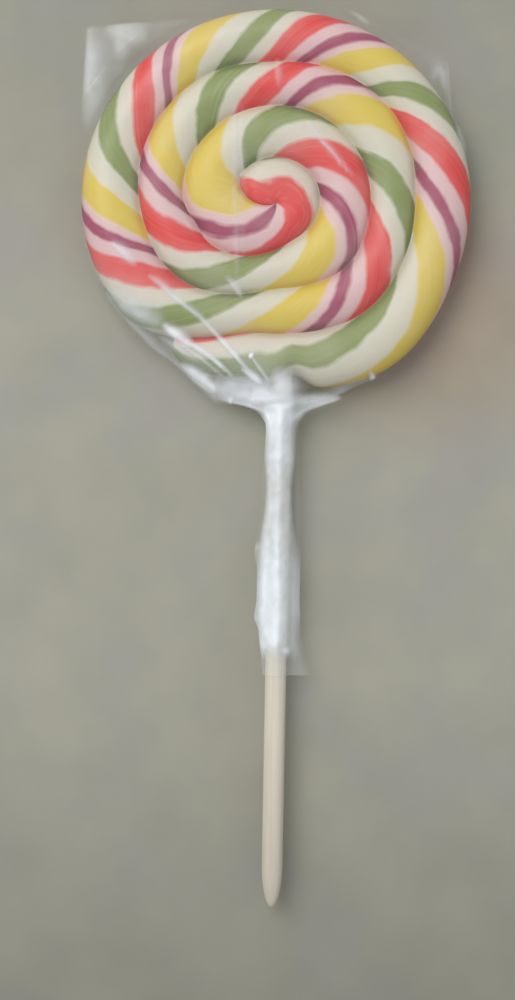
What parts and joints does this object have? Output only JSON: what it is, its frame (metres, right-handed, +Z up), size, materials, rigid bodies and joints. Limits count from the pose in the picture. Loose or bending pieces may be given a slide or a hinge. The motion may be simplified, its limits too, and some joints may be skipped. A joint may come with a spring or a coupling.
{
  "type": "swirl lollipop",
  "caption": "Round swirl lollipop: a striped sugar rope coiled flat on a wooden stick, in a clear film bag gathered round the stick.",
  "frame": {"origin": "on the surface it lies on, under the middle of the whole lollipop's box", "axes": "+Z up out of the shown face, the stick pointing along -Y, +X to the right of the shown face"},
  "size_m": [0.0822, 0.1866, 0.0109],
  "materials": {
    "sugar": "glossy boiled sugar in red, white, green, yellow and magenta stripes",
    "pale_wood": "bare pale wood, sanded",
    "clear_film": "clear crinkled film"
  },
  "bodies": {
    "root": {"candy_coil": "sugar", "wooden_stick": "pale_wood", "film_wrapper": "clear_film"}
  },
  "joints": []
}
